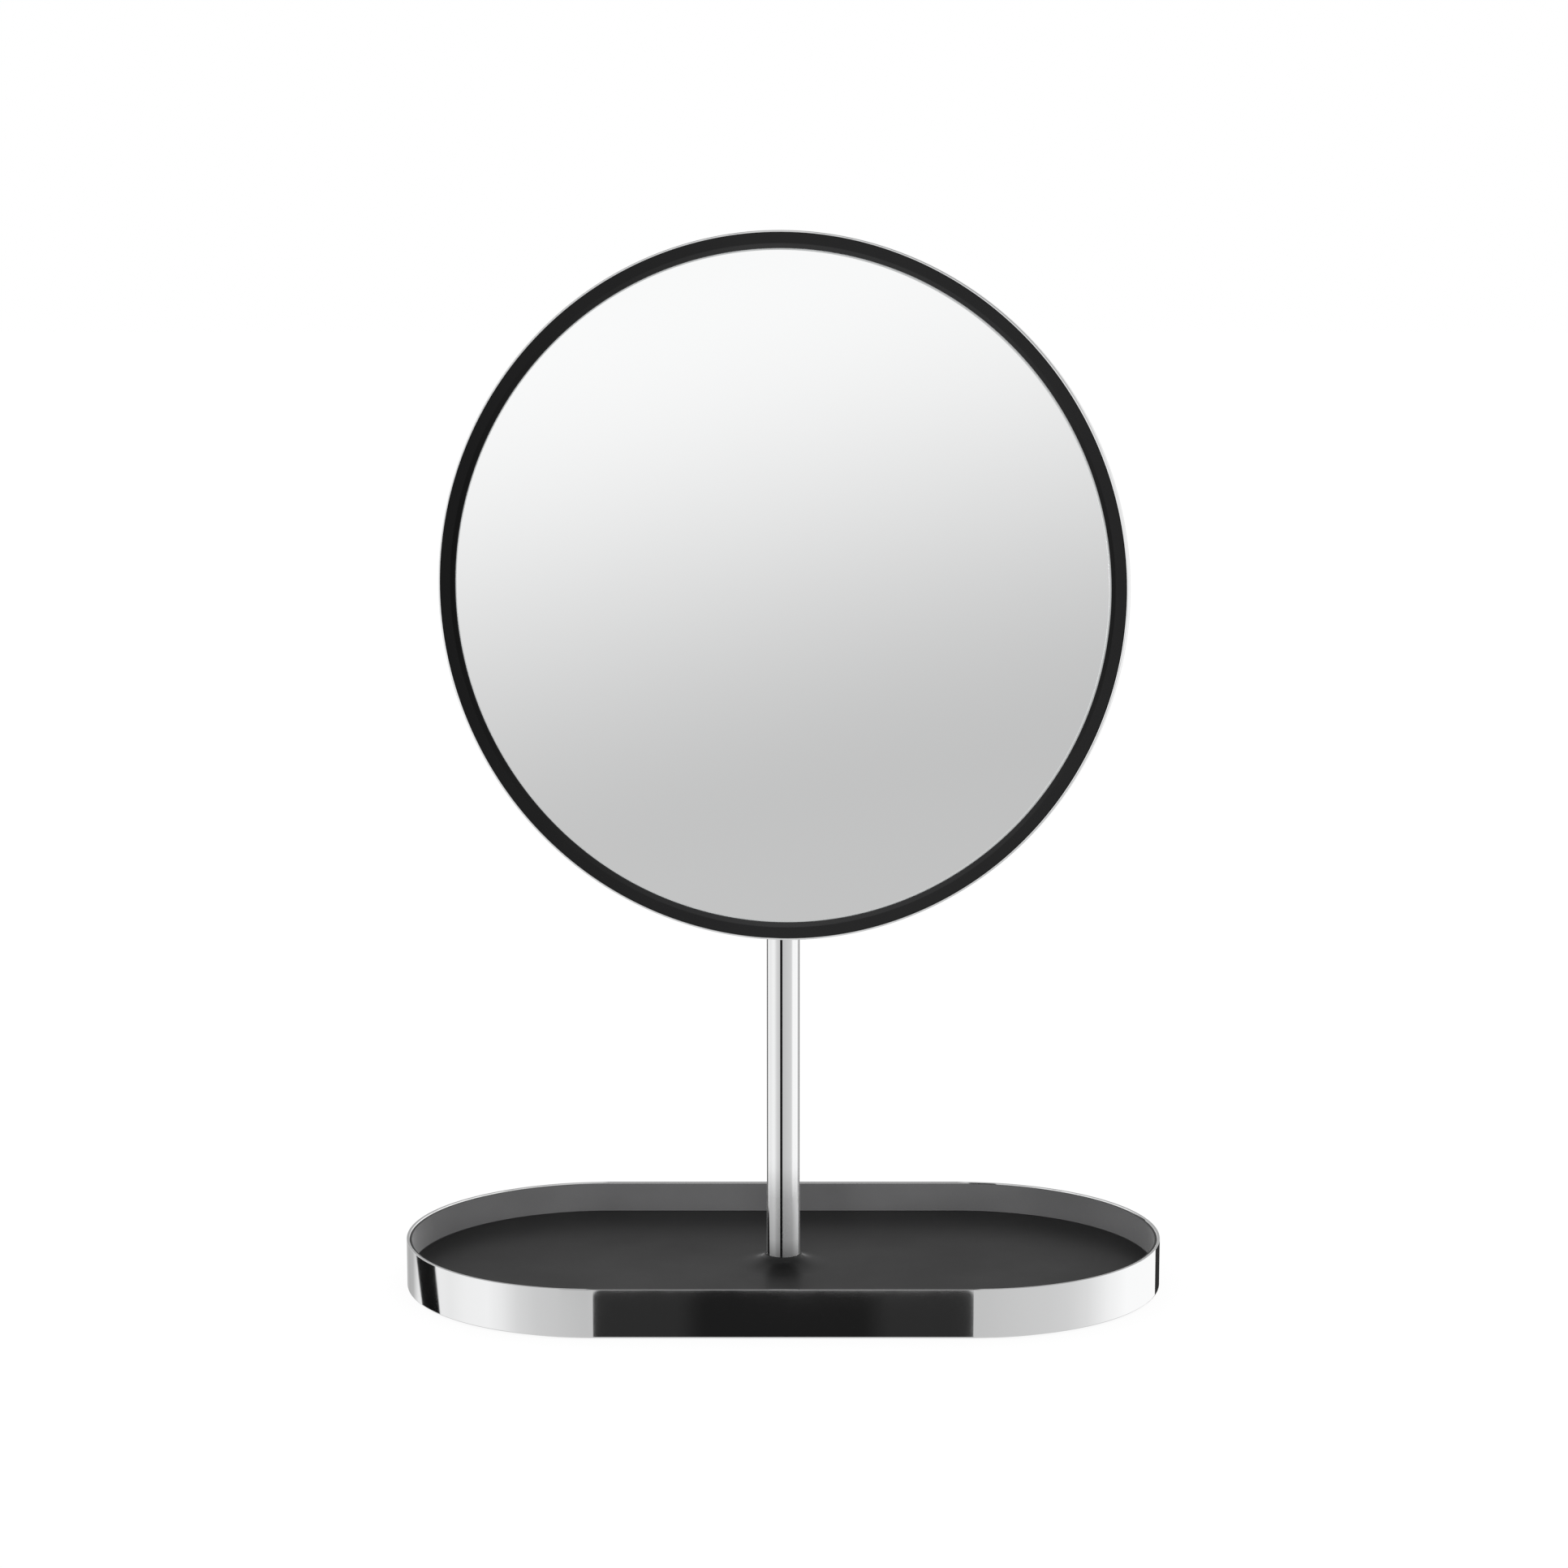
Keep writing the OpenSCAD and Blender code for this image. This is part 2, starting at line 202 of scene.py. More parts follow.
def lathe(outline, columns, place):
    """Turns an outline of (radius, depth) about the depth axis. The ends on the axis become one point.

    Returns points, faces and, for each face, the number of the outline's side that it comes from.
    """
    points = []
    rings = []
    for radius, depth in outline:
        if radius < ON_AXIS:
            rings.append([len(points)] * columns)
            points.append(place @ Vector((0, 0, depth)))
            continue
        rings.append(list(range(len(points), len(points) + columns)))
        for j in range(columns):
            angle = 2 * math.pi * j / columns
            points.append(place @ Vector((radius * math.cos(angle), radius * math.sin(angle), depth)))
    faces = []
    sides = []
    for i, ring in enumerate(rings):
        after = rings[(i + 1) % len(rings)]
        if ring[0] == ring[1] and after[0] == after[1]:
            continue
        faces += [quad(ring, after, j) for j in range(columns)]
        sides += [i] * columns
    return points, faces, sides


# ---------------------------------------------------------------- sizes from the frame

def tray_sizes():
    """Half length of the tray's straight sides, radius of its ends, and its lowest and highest points."""
    low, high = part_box("tray_hoop")
    end_radius = high.y
    return high.x - end_radius, end_radius, low.z, high.z


def head_frame():
    """Head axes at rest: X to the head's right, Y to its back, Z up, with the origin on the tilt pivot."""
    flat = max(nodes["mirror_glass"].data.polygons, key=lambda face: face.area)
    back = Vector(flat.normal)
    if back.y < 0:
        back = -back
    right = -Vector(joints["head_tilt"]["axis"])
    up = right.cross(back)
    rotation = Matrix((right, back, up)).transposed().to_4x4()
    return Matrix.Translation(Vector(joints["head_tilt"]["pos_m"])) @ rotation


HEAD = head_frame()


def head_box(node):
    """Lowest and highest corners of a CAD node in the head's own axes."""
    to_head = HEAD.inverted()
    corners = np.array([to_head @ vertex.co for vertex in nodes[node].data.vertices])
    return corners.min(0), corners.max(0)


LIP_Y = head_box("head_shell")[0][1]


def head_lathe_place():
    """Places a lathe so that its depth axis starts at the lip and runs back through the head."""
    glass_low, glass_high = head_box("mirror_glass")
    centre = HEAD @ Vector((0, LIP_Y, (glass_low[2] + glass_high[2]) / 2))
    rotation = HEAD.to_3x3() @ Matrix.Rotation(math.radians(-90), 3, "X")
    return Matrix.Translation(centre) @ rotation.to_4x4()


LIP = head_lathe_place()


def lip_radius_depth(node):
    """Outer radius of a head node, and its nearest and farthest depth from the lip."""
    low, high = head_box(node)
    return (high[0] - low[0]) / 2, low[1] - LIP_Y, high[1] - LIP_Y


# ---------------------------------------------------------------- node graphs

class Graph:
    """Short calls for building a node tree."""

    def __init__(self, tree):
        self.tree = tree
        tree.nodes.clear()

    def feed(self, socket, value):
        if isinstance(value, bpy.types.NodeSocket):
            self.tree.links.new(value, socket)
        else:
            socket.default_value = value

    def feed_in_order(self, made, values):
        for socket, value in zip(made.inputs, values):
            self.feed(socket, value)

    def node(self, kind, **inputs):
        """A node with inputs by name, an underscore standing for a space."""
        made = self.tree.nodes.new(kind)
        for name, value in inputs.items():
            self.feed(made.inputs[name.replace("_", " ")], value)
        return made

    def position(self):
        return self.node("ShaderNodeTexCoord").outputs["Object"]

    def split(self, vector):
        """The x, y and z of a vector."""
        return self.node("ShaderNodeSeparateXYZ", Vector=vector).outputs

    def math(self, operation, *values):
        made = self.tree.nodes.new("ShaderNodeMath")
        made.operation = operation
        self.feed_in_order(made, values)
        return made.outputs[0]

    def vector_math(self, operation, *values, output="Vector"):
        made = self.tree.nodes.new("ShaderNodeVectorMath")
        made.operation = operation
        self.feed_in_order(made, values)
        return made.outputs[output]

    def remap(self, value, span, to_span, smooth=False):
        """Takes a value from one span to another, held at its ends."""
        made = self.tree.nodes.new("ShaderNodeMapRange")
        made.interpolation_type = "SMOOTHSTEP" if smooth else "LINEAR"
        self.feed_in_order(made, (value, *span, *to_span))
        return made.outputs[0]

    def blend(self, share, first, second):
        """A number between first and second."""
        made = self.tree.nodes.new("ShaderNodeMix")
        made.data_type = "FLOAT"
        for name, item in (("Factor", share), ("A", first), ("B", second)):
            self.feed(made.inputs[name], item)
        return made.outputs[0]

    def multiply(self, colour, shade):
        made = self.tree.nodes.new("ShaderNodeMix")
        made.data_type = "RGBA"
        made.blend_type = "MULTIPLY"
        for socket, item in zip((made.inputs[0], made.inputs[6], made.inputs[7]), (1.0, colour, shade)):
            self.feed(socket, item)
        return made.outputs[2]

    def noise(self, scale, detail=2.0, coordinates=None):
        if coordinates is None:
            coordinates = self.position()
        return self.node("ShaderNodeTexNoise", Vector=coordinates, Scale=scale, Detail=detail).outputs["Fac"]

    def ramp(self, value, stops):
        """Colours by value, from stops of (position, colour)."""
        made = self.tree.nodes.new("ShaderNodeValToRGB")
        self.feed(made.inputs[0], value)
        elements = made.color_ramp.elements
        for i, (position, colour) in enumerate(stops):
            element = elements[i] if i < 2 else elements.new(position)
            element.position = position
            element.color = (*colour, 1)
        return made.outputs[0]

    def grey_ramp(self, value, stops):
        """Greys by value, from stops of (position, level)."""
        return self.ramp(value, [(position, (level, level, level)) for position, level in stops])

    def bump(self, height, strength, distance):
        return self.node("ShaderNodeBump", Strength=strength, Distance=distance, Height=height).outputs[0]

    def glow(self, strength):
        return self.node("ShaderNodeEmission", Color=(1, 1, 1, 1), Strength=strength).outputs[0]

    def clear(self):
        return self.node("ShaderNodeBsdfTransparent").outputs[0]

    def mix_shader(self, share, first, second):
        made = self.tree.nodes.new("ShaderNodeMixShader")
        self.feed_in_order(made, (share, first, second))
        return made.outputs[0]

    def output(self, shader):
        output = self.tree.nodes.new("ShaderNodeOutputMaterial")
        self.tree.links.new(shader, output.inputs[0])

    def surface(self, seen_past=None, painted_dark_share=None, **inputs):
        """Principled surface.

        seen_past is the share of itself that it leaves out of reflections; the next argument is the share that
        is painted plain black, as painted shade.
        """
        shader = self.node("ShaderNodeBsdfPrincipled", **inputs).outputs[0]
        if painted_dark_share is not None:
            black = self.node("ShaderNodeBsdfDiffuse", Color=(0.01, 0.01, 0.01, 1.0)).outputs[0]
            shader = self.mix_shader(painted_dark_share, shader, black)
        if seen_past is not None:
            shader = self.mix_shader(seen_past, shader, self.clear())
        self.output(shader)

    def falling_reflection(self):
        """1 where a reflected ray comes down on the surface, and 0 for every other ray."""
        reflected = self.node("ShaderNodeLightPath").outputs["Is Glossy Ray"]
        rise = self.split(self.node("ShaderNodeNewGeometry").outputs["Incoming"])[2]
        return self.math("MULTIPLY", self.math("GREATER_THAN", rise, 0.0), reflected)


def new_graph(name):
    material = bpy.data.materials.new(name)
    material.use_nodes = True
    return material, Graph(material.node_tree)


# ---------------------------------------------------------------- materials

def polish(g, haze_level):
    """Inputs of a surface of mirror-polished steel with a trace of haze."""
    haze = g.noise(scale=38.0, detail=5.0)
    grain = g.noise(scale=2600.0)
    level = g.remap(haze, (0.3, 0.7), (haze_level, haze_level + 0.022))
    return {
        "Base_Color": g.ramp(haze, [(0.3, (0.955, 0.96, 0.965)), (0.7, (0.975, 0.978, 0.98))]),
        "Metallic": 1.0,
        "Roughness": g.math("ADD", level, g.math("MULTIPLY", grain, 0.006)),
        "Normal": g.bump(grain, strength=0.02, distance=0.001 * MM),
    }


def pan_steel():
    """Polished steel of the pan, slightly hazier than the rest."""
    material, g = new_graph("polished_steel")
    g.surface(**polish(g, haze_level=0.05))
    return material


def post_steel():
    """Polished steel of the post.

    Its colour is painted darker towards its foot, a painted reflection of the dark tray, and a painted dark line
    runs down each side, a painted reflection along its edges.
    """
    material, g = new_graph("post_steel")
    steel = polish(g, haze_level=0.018)
    height = g.remap(g.split(g.position())[2], (6 * MM, 40 * MM), (0.0, 1.0))
    # Painted reflection: the colour darkens towards the foot, standing in for the dark tray it would mirror
    shade = g.grey_ramp(height, [(0.09, 0.22), (0.24, 0.44), (0.62, 0.62), (0.9, 0.96), (1.0, 1.0)])
    steel["Base_Color"] = g.multiply(steel["Base_Color"], shade)
    # Painted reflection: a thin dark line down each side, mixed in as plain black
    facing = g.node("ShaderNodeLayerWeight", Blend=0.5).outputs["Facing"]
    painted_dark_edge_line = g.grey_ramp(facing, [(0.6, 0.0), (0.69, 0.85), (0.76, 0.85), (0.9, 0.35)])
    g.surface(painted_dark_share=painted_dark_edge_line, **steel)
    return material


def tray_steel():
    """Polished steel of the tray's band, left out of falling reflections.

    Its top face is painted dark along the straight sides, a painted shade that dims the rim's reflection there.
    """
    material, g = new_graph("tray_steel")
    steel = polish(g, haze_level=0.018)
    reach = tray_sizes()[0]
    along = g.math("ABSOLUTE", g.split(g.position())[0])
    # Painted shade: full colour at the ends, darkened along the straight sides
    painted_rim_shade = g.remap(along, (reach, reach + 3 * MM), (0.1, 1.0), smooth=True)
    up = g.split(g.node("ShaderNodeNewGeometry").outputs["Normal"])[2]
    shade = g.remap(up, (0.05, 0.5), (1.0, painted_rim_shade), smooth=True)
    steel["Base_Color"] = g.multiply(steel["Base_Color"], shade)
    g.surface(seen_past=g.falling_reflection(), **steel)
    return material


def powder_black(name, level, rough_span, gloss):
    """Fine matt powder coat: a small orange peel, specks and a slow change of sheen.

    It is left out of falling reflections.
    """
    material, g = new_graph(name)
    peel = g.noise(scale=1500.0, detail=3.0)
    specks = g.noise(scale=5200.0, detail=1.0)
    cloud = g.noise(scale=30.0, detail=4.0)
    tint = g.ramp(g.math("ADD", g.math("MULTIPLY", cloud, 0.7), g.math("MULTIPLY", specks, 0.3)), [
        (0.35, (level * 0.9, level * 0.9, level * 0.915)),
        (0.65, (level * 1.1, level * 1.1, level * 1.115)),
    ])
    height = g.math("ADD", peel, g.math("MULTIPLY", specks, 0.4))
    g.surface(
        seen_past=g.falling_reflection(), Base_Color=tint, Roughness=g.remap(cloud, (0.3, 0.7), rough_span),
        Normal=g.bump(height, strength=0.25, distance=0.03 * MM), Specular_IOR_Level=gloss,
    )
    return material


def ring_black(flat_radius):
    """Matt black moulding whose inner slope, inside flat_radius, is painted slightly lighter, a painted sheen.

    Both faces are painted darker towards the head's left and right, a painted shade.
    """
    material, g = new_graph("ring_black")
    offset = g.vector_math("SUBTRACT", g.position(), LIP.translation)
    across = g.vector_math("CROSS_PRODUCT", offset, LIP.col[2].to_3d())
    radius = g.vector_math("LENGTH", across, output="Value")
    inner = g.remap(radius, (flat_radius - 0.3 * MM, flat_radius + 0.1 * MM), (1.0, 0.0), smooth=True)
    side = g.remap(g.split(offset)[0], (-flat_radius, flat_radius), (0.0, 1.0))
    # Painted shade and sheen: the black is darker towards the sides and lighter on the inner slope
    flat_tone_and_painted_shade = g.grey_ramp(side, [
        (0.0, 0.004), (0.2, 0.010), (0.5, 0.0155), (0.85, 0.0155), (1.0, 0.014),
    ])
    slope_tone_and_painted_light = g.grey_ramp(side, [
        (0.0, 0.0), (0.2, 0.012), (0.5, 0.034), (0.85, 0.024), (1.0, 0.003),
    ])
    cloud = g.remap(g.noise(scale=45.0, detail=3.0), (0.3, 0.7), (0.92, 1.08))
    level = g.math("MULTIPLY", g.blend(inner, flat_tone_and_painted_shade, slope_tone_and_painted_light), cloud)
    tint = g.node("ShaderNodeCombineColor", Red=level, Green=level, Blue=g.math("MULTIPLY", level, 1.02))
    normal = g.bump(g.noise(scale=2400.0), strength=0.15, distance=0.02 * MM)
    g.surface(Base_Color=tint.outputs[0], Roughness=0.5, Normal=normal, Specular_IOR_Level=0.14)
    return material


def silvered_glass():
    """Face of a silvered mirror: nearly perfect, with the faintest cool tint and ripple."""
    material, g = new_graph("silvered_glass")
    cloud = g.noise(scale=9.0)
    tint = g.ramp(cloud, [(0.2, (0.93, 0.935, 0.935)), (0.8, (0.94, 0.944, 0.945))])
    g.surface(Base_Color=tint, Metallic=1.0, Roughness=g.remap(cloud, (0.2, 0.8), (0.0, 0.004)))
    return material


def ground_edge():
    """Ground rim of the glass: frosted, with fine grinding marks, and glowing a little as a painted highlight that
    keeps it bright.
    """
    material, g = new_graph("ground_edge")
    marks = g.noise(scale=3200.0, detail=3.0)
    # Painted highlight: the rim glows a little though it is no lamp
    g.surface(
        Base_Color=g.ramp(marks, [(0.3, (0.86, 0.88, 0.88)), (0.7, (0.95, 0.96, 0.96))]),
        Metallic=0.75, Roughness=0.32, Normal=g.bump(marks, strength=0.2, distance=0.01 * MM),
        Emission_Color=(0.95, 0.97, 0.97, 1.0), Emission_Strength=0.35,
    )
    return material


def plain_metal(name, dark, light, rough, stretch=(1.0, 1.0, 1.0)):
    """Plated, rolled or turned metal with a fine grain that may run one way."""
    material, g = new_graph(name)
    mapping = g.node("ShaderNodeMapping", Vector=g.position(), Scale=stretch)
    grain = g.noise(scale=900.0, detail=4.0, coordinates=mapping.outputs[0])
    cloud = g.noise(scale=120.0, detail=3.0)
    mix = g.math("ADD", g.math("MULTIPLY", grain, 0.6), g.math("MULTIPLY", cloud, 0.4))
    g.surface(
        Base_Color=g.ramp(mix, [(0.3, dark), (0.7, light)]), Metallic=1.0,
        Roughness=g.remap(grain, (0.3, 0.7), (rough - 0.06, rough + 0.08)),
        Normal=g.bump(grain, strength=0.12, distance=0.02 * MM),
    )
    return material


def nylon():
    """Natural nylon washer: milky, slightly translucent."""
    material, g = new_graph("nylon")
    cloud = g.noise(scale=700.0, detail=3.0)
    tint = g.ramp(cloud, [(0.3, (0.72, 0.7, 0.64)), (0.7, (0.82, 0.8, 0.75))])
    normal = g.bump(cloud, strength=0.1, distance=0.02 * MM)
    g.surface(Base_Color=tint, Roughness=0.45, Normal=normal, Subsurface_Weight=0.1)
    return material


def foam():
    """Closed-cell foam sheet with a fine open skin of cells."""
    material, g = new_graph("foam")
    cells = g.node("ShaderNodeTexVoronoi", Vector=g.position(), Scale=1400.0).outputs["Distance"]
    tint = g.ramp(cells, [(0.1, (0.02, 0.02, 0.021)), (0.6, (0.06, 0.06, 0.063))])
    normal = g.bump(cells, strength=0.5, distance=0.1 * MM)
    g.surface(Base_Color=tint, Roughness=0.9, Normal=normal, Specular_IOR_Level=0.2)
    return material


# ---------------------------------------------------------------- tray

def stadium_loop(reach, radius, height):
    """Points round a stadium of the given end radius, with the same columns at any radius."""
    loop = []
    for side, start in ((1, -90), (-1, 90)):
        for x, y in arc((side * reach, 0), radius, start, start + 180, END_STEPS):
            loop.append(Vector((x, y, height)))
        held = 1 - HOLD / reach
        shares = [held] + [1 - 2 * i / SIDE_STEPS for i in range(1, SIDE_STEPS)] + [-held]
        for share in shares:
            loop.append(Vector((side * reach * share, side * radius, height)))
    return loop


def circle_loop(like, radius, height):
    """Points of a circle, each in the direction of the matching point of another loop."""
    return [Vector((p.x, p.y, 0)).normalized() * radius + Vector((0, 0, height)) for p in like]


def build_tray_band():
    """Polished band with soft edges and a flange turned in at its foot."""
    reach, radius, low, high = tray_sizes()
    flange_top = low + BAND_FLANGE_T
    flange_edge = BAND_T + BAND_FLANGE_W
    section = rounded([
        (0, low, FOLD),
        (0, high, CRISP),
        (BAND_T, high, CRISP),
        (BAND_T, flange_top, SOFT),
        (flange_edge, flange_top, SOFT),
        (flange_edge, low, SOFT),
    ])
    points, faces = skin([stadium_loop(reach, radius - inset, height) for inset, height in section])
    new_piece("tray_band", points, faces, "base", "tray_hoop", [tray_steel()])


def boss_section(floor, foot, post_radius):
    """Outline of the hollow flare round the post: up from the floor, over its lip and down its hole."""
    rim = post_radius + BOSS_LIP
    hole = post_radius + BOSS_CLEAR
    top = floor + BOSS_H
    apron = 3 * MM  # of flat floor before the flare starts
    flare = [(BOSS_FOOT_R + apron, floor)]
    for i in range(FLARE_STEPS - 1):
        angle = math.radians(90 * i / FLARE_STEPS)
        across = BOSS_FOOT_R - (BOSS_FOOT_R - rim) * math.sin(angle)
        flare.append((across, floor + (top - floor) * (1 - math.cos(angle))))
    lip = rounded([
        (rim, top - 0.6 * MM, 0),
        (rim, top, BOSS_ROUND),
        (hole, top, SOFT),
        (hole, foot, CRISP),
        (BOSS_FOOT_R, foot, 0),
    ], closed=False)
    return flare + lip[1:]


def build_tray_inner():
    """Black floor and low wall, with a hollow flare up to the post. The wall's black coat is painted lighter, as
    painted light for the light that it catches.
    """
    reach, radius, _, _ = tray_sizes()
    low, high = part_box("tray_liner")
    post_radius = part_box("post_tube")[1].x
    outer = radius - high.y
    wall = outer + LINER_T
    floor = low.z + LINER_T
    section = rounded([
        (outer, low.z, FOLD),
        (outer, high.z, SOFT),
        (wall, high.z, SOFT),
        (wall, floor, FOLD),
        (wall + 4 * MM, floor, 0),
    ], closed=False)
    loops = [stadium_loop(reach, radius - inset, height) for inset, height in section]
    guide = loops[0]
    boss = boss_section(floor, low.z, post_radius)
    loops += [circle_loop(guide, across, height) for across, height in boss]
    points, faces = skin(loops)
    wall_rows = sum(height > floor + HOLD for _, height in section)
    wall_faces = len(guide) * wall_rows
    slots = [1] * wall_faces + [0] * (len(faces) - wall_faces)
    coat_and_painted_lit_coat = [
        powder_black("powder_black", level=0.011, rough_span=(0.33, 0.4), gloss=0.4),
        # Painted light: the wall's copy of the black coat is much lighter, standing in for the light it catches
        powder_black("powder_black_painted_lit", level=0.113, rough_span=(0.36, 0.46), gloss=0.15),
    ]
    new_piece("tray_inner", points, faces, "base", "tray_liner", coat_and_painted_lit_coat, slots)


# ---------------------------------------------------------------- post

def build_post():
    """Polished tube with a small round on its top edge."""
    low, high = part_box("post_tube")
    radius = high.x
    bore = radius - POST_WALL
    section = rounded([
        (radius, low.z, SOFT),
        (radius, high.z, POST_ROUND),
        (bore, high.z, BORE_ROUND),
        (bore, low.z, CRISP),
    ])
    points, faces, _ = lathe(section, POST_STEPS, Matrix.Identity(4))
    new_piece("post", points, faces, "base", "post_tube", [post_steel()])


# ---------------------------------------------------------------- head

def build_glass():
    """Silvered disc with a ground bevel round its front edge."""
    radius, front, back = lip_radius_depth("mirror_glass")
    outline = [
        (0, front),
        (radius - GLASS_BEVEL, front),
        (radius, front + GLASS_BEVEL),
        (radius, back),
        (0, back),
    ]
    points, faces, sides = lathe(outline, TURN_STEPS, LIP)
    ground_sides = (1, 2)
    slots = [1 if side in ground_sides else 0 for side in sides]
    materials = [silvered_glass(), ground_edge()]
    new_piece("glass", points, faces, "head", "mirror_glass", materials, slots)


def build_ring():
    """Matt ring: flat outer face, shallow inner slope, and the skirt that holds it in the pan."""
    outer, front, back = lip_radius_depth("bezel_ring")
    inner = lip_radius_depth("mirror_glass")[0] + RING_GAP
    flat = outer - RING_FLAT_W
    ring_back = front + RING_STEP + RING_T
    outline = rounded([
        (outer, front, SOFT),
        (flat, front, RING_RIDGE_ROUND),
        (inner, front + RING_STEP, RING_INNER_ROUND),
        (inner, ring_back, CRISP),
        (outer - RING_T, ring_back, CRISP),
        (outer - RING_T, back, CRISP),
        (outer, back, CRISP),
    ])
    points, faces, _ = lathe(outline, TURN_STEPS, LIP)
    new_piece("black_ring", points, faces, "head", "bezel_ring", [ring_black(flat)])


def pan_rows(radius, depth, corner, lip, slot_depths):
    """Rows of the pan's surface from the lip to the back's centre, with one at each end of the slot."""
    rows = [(radius, lip + share * (depth - corner - lip)) for share in (0, 0.5)]
    rows += arc((radius - corner, depth - corner), corner, 0, 90, CORNER_STEPS)
    rows += [(r, depth) for r in (radius - corner - HOLD, 0.6 * radius, 0.3 * radius)]
    for slot_depth in slot_depths:
        reach = slot_depth - (depth - corner)
        slot_r = radius if reach <= 0 else radius - corner + math.sqrt(corner ** 2 - reach ** 2)
        rows.append((slot_r, slot_depth))
    return sorted(rows, key=lambda row: (row[1], -row[0]))


def pan_rings(rows, radius):
    """Points of the pan's rows, and the numbers of the points in each row.

    The columns start and end on the slot's sides wherever the slot is, and close to them further in.
    """
    down = math.pi / 2
    steps = [k for k in range(TURN_STEPS) if min(k, TURN_STEPS - k) > 1]
    points = []
    rings = []
    for r, depth in rows:
        if r < ON_AXIS:
            rings.append([len(points)] * (len(steps) + 2))
            points.append(LIP @ Vector((0, 0, depth)))
            continue
        side = math.asin(SLOT_HALF_W / max(r, 0.75 * radius))
        angles = [side] + [2 * math.pi * k / TURN_STEPS for k in steps] + [2 * math.pi - side]
        rings.append(list(range(len(points), len(points) + len(angles))))
        for angle in angles:
            points.append(LIP @ Vector((r * math.cos(angle + down), r * math.sin(angle + down), depth)))
    return points, rings


def slot_walls(rings, inner_rows, outer_rows):
    """Side and end walls of the slot, between the pan's inner and outer skins."""
    faces = []
    for column in (0, -1):
        side = [rings[i][column] for i in inner_rows] + [rings[i][column] for i in outer_rows[::-1]]
        faces.append(tuple(side if column == 0 else side[::-1]))
    for a, b in ((inner_rows[0], outer_rows[0]), (inner_rows[-1], outer_rows[-1])):
        faces.append((rings[a][0], rings[a][-1], rings[b][-1], rings[b][0]))
    return faces


def build_pan():
    """Polished pan with a rolled lip and a slot for the stem at its lowest point."""
    radius, _, depth = lip_radius_depth("head_shell")
    slot_depths = (-LIP_Y - SLOT_FRONT, -LIP_Y + SLOT_BACK)
    lip = PAN_WALL / 2
    outer = pan_rows(radius, depth, PAN_ROUND, lip, slot_depths)
    inner = pan_rows(radius - PAN_WALL, depth - PAN_WALL, PAN_ROUND - PAN_WALL, lip, slot_depths)
    roll = arc((radius - lip, lip), lip, 180, 360, 2 * ARC_STEPS)[1:-1]
    rows = [(0, depth - PAN_WALL)] + inner[::-1] + roll + outer + [(0, depth)]
    points, rings = pan_rings(rows, radius)

    def along_slot(i):
        r, row_depth = rows[i]
        return r > 0.5 * radius and slot_depths[0] - TOUCH < row_depth < slot_depths[1] + TOUCH

    faces = []
    columns = len(rings[0])
    for i in range(len(rows) - 1):
        opens = along_slot(i) and along_slot(i + 1)
        faces += [quad(rings[i], rings[i + 1], j) for j in range(columns - 1 if opens else columns)]
    inner_rows = [i for i in range(len(inner) + 1) if along_slot(i)]
    outer_rows = [i for i in range(len(inner) + 1, len(rows)) if along_slot(i)]
    faces += slot_walls(rings, inner_rows, outer_rows[::-1])
    new_piece("pan", points, faces, "head", "head_shell", [pan_steel()])


# ---------------------------------------------------------------- CAD nodes that stay

def finish_cad_nodes():
    """Gives each CAD node that stays its material by the record's slot."""
    by_slot = {
        "zinc_steel": plain_metal("zinc_steel", (0.52, 0.54, 0.56), (0.68, 0.7, 0.72), 0.3),
        "plate_steel": plain_metal("plate_steel", (0.16, 0.165, 0.17), (0.3, 0.31, 0.32), 0.45, (1, 8, 1)),
        "turned_brass": plain_metal("turned_brass", (0.62, 0.46, 0.2), (0.8, 0.62, 0.32), 0.25, (1, 1, 8)),
        "nylon": nylon(),
        "foam": foam(),
    }
    for part in frame["record"]["subparts"]:
        if part["material_slot"] in by_slot:
            mesh = nodes[part["node"]].data
            mesh.materials.clear()
            mesh.materials.append(by_slot[part["material_slot"]])


def hide_underside():
    """Leaves what lies under the tray's floor out of reflections, since the floor doesn't show in them."""
    for name in ("ballast_plate", "base_pad", "post_screw"):
        nodes[name].visible_glossy = False


# ---------------------------------------------------------------- studio

def add_camera():
    """Camera on the tray's axis, a little above the object and looking down at it."""
    data = bpy.data.cameras.new("camera")
    data.sensor_width = SENSOR_MM
    data.lens = LENS_MM
    camera = new_object("camera", data)
    camera.location = (
        CAMERA_SIDE,
        -CAMERA_DISTANCE * math.cos(CAMERA_RISE),
        CAMERA_DISTANCE * math.sin(CAMERA_RISE) + CAMERA_FOOT,
    )
    camera.rotation_euler = (math.pi / 2 - CAMERA_PITCH, 0, 0)
    bpy.context.scene.camera = camera


def add_floor():
    """Pale floor that runs out to white. Seen from below it is clear, so that the foot shows."""
    half = 6.0
    mesh = bpy.data.meshes.new("floor")
    corners = [(-half, -half, 0), (half, -half, 0), (half, half, 0), (-half, half, 0)]
    mesh.from_pydata(corners, [], [(0, 1, 2, 3)])
    floor = new_object("floor", mesh)
    floor.location.z = -0.05 * MM
    material, g = new_graph("floor")
    # Painted contact shadow: the floor's glow dims where the object stands near it
    openness = g.node("ShaderNodeAmbientOcclusion", Distance=0.05).outputs["AO"]
    shade = g.remap(openness, (0.0, 1.0), (0.94, 1.02))
    below = g.node("ShaderNodeNewGeometry").outputs["Backfacing"]
    g.output(g.mix_shader(below, g.glow(shade), g.clear()))
    mesh.materials.append(material)
    floor.visible_glossy = False
    floor.visible_diffuse = False


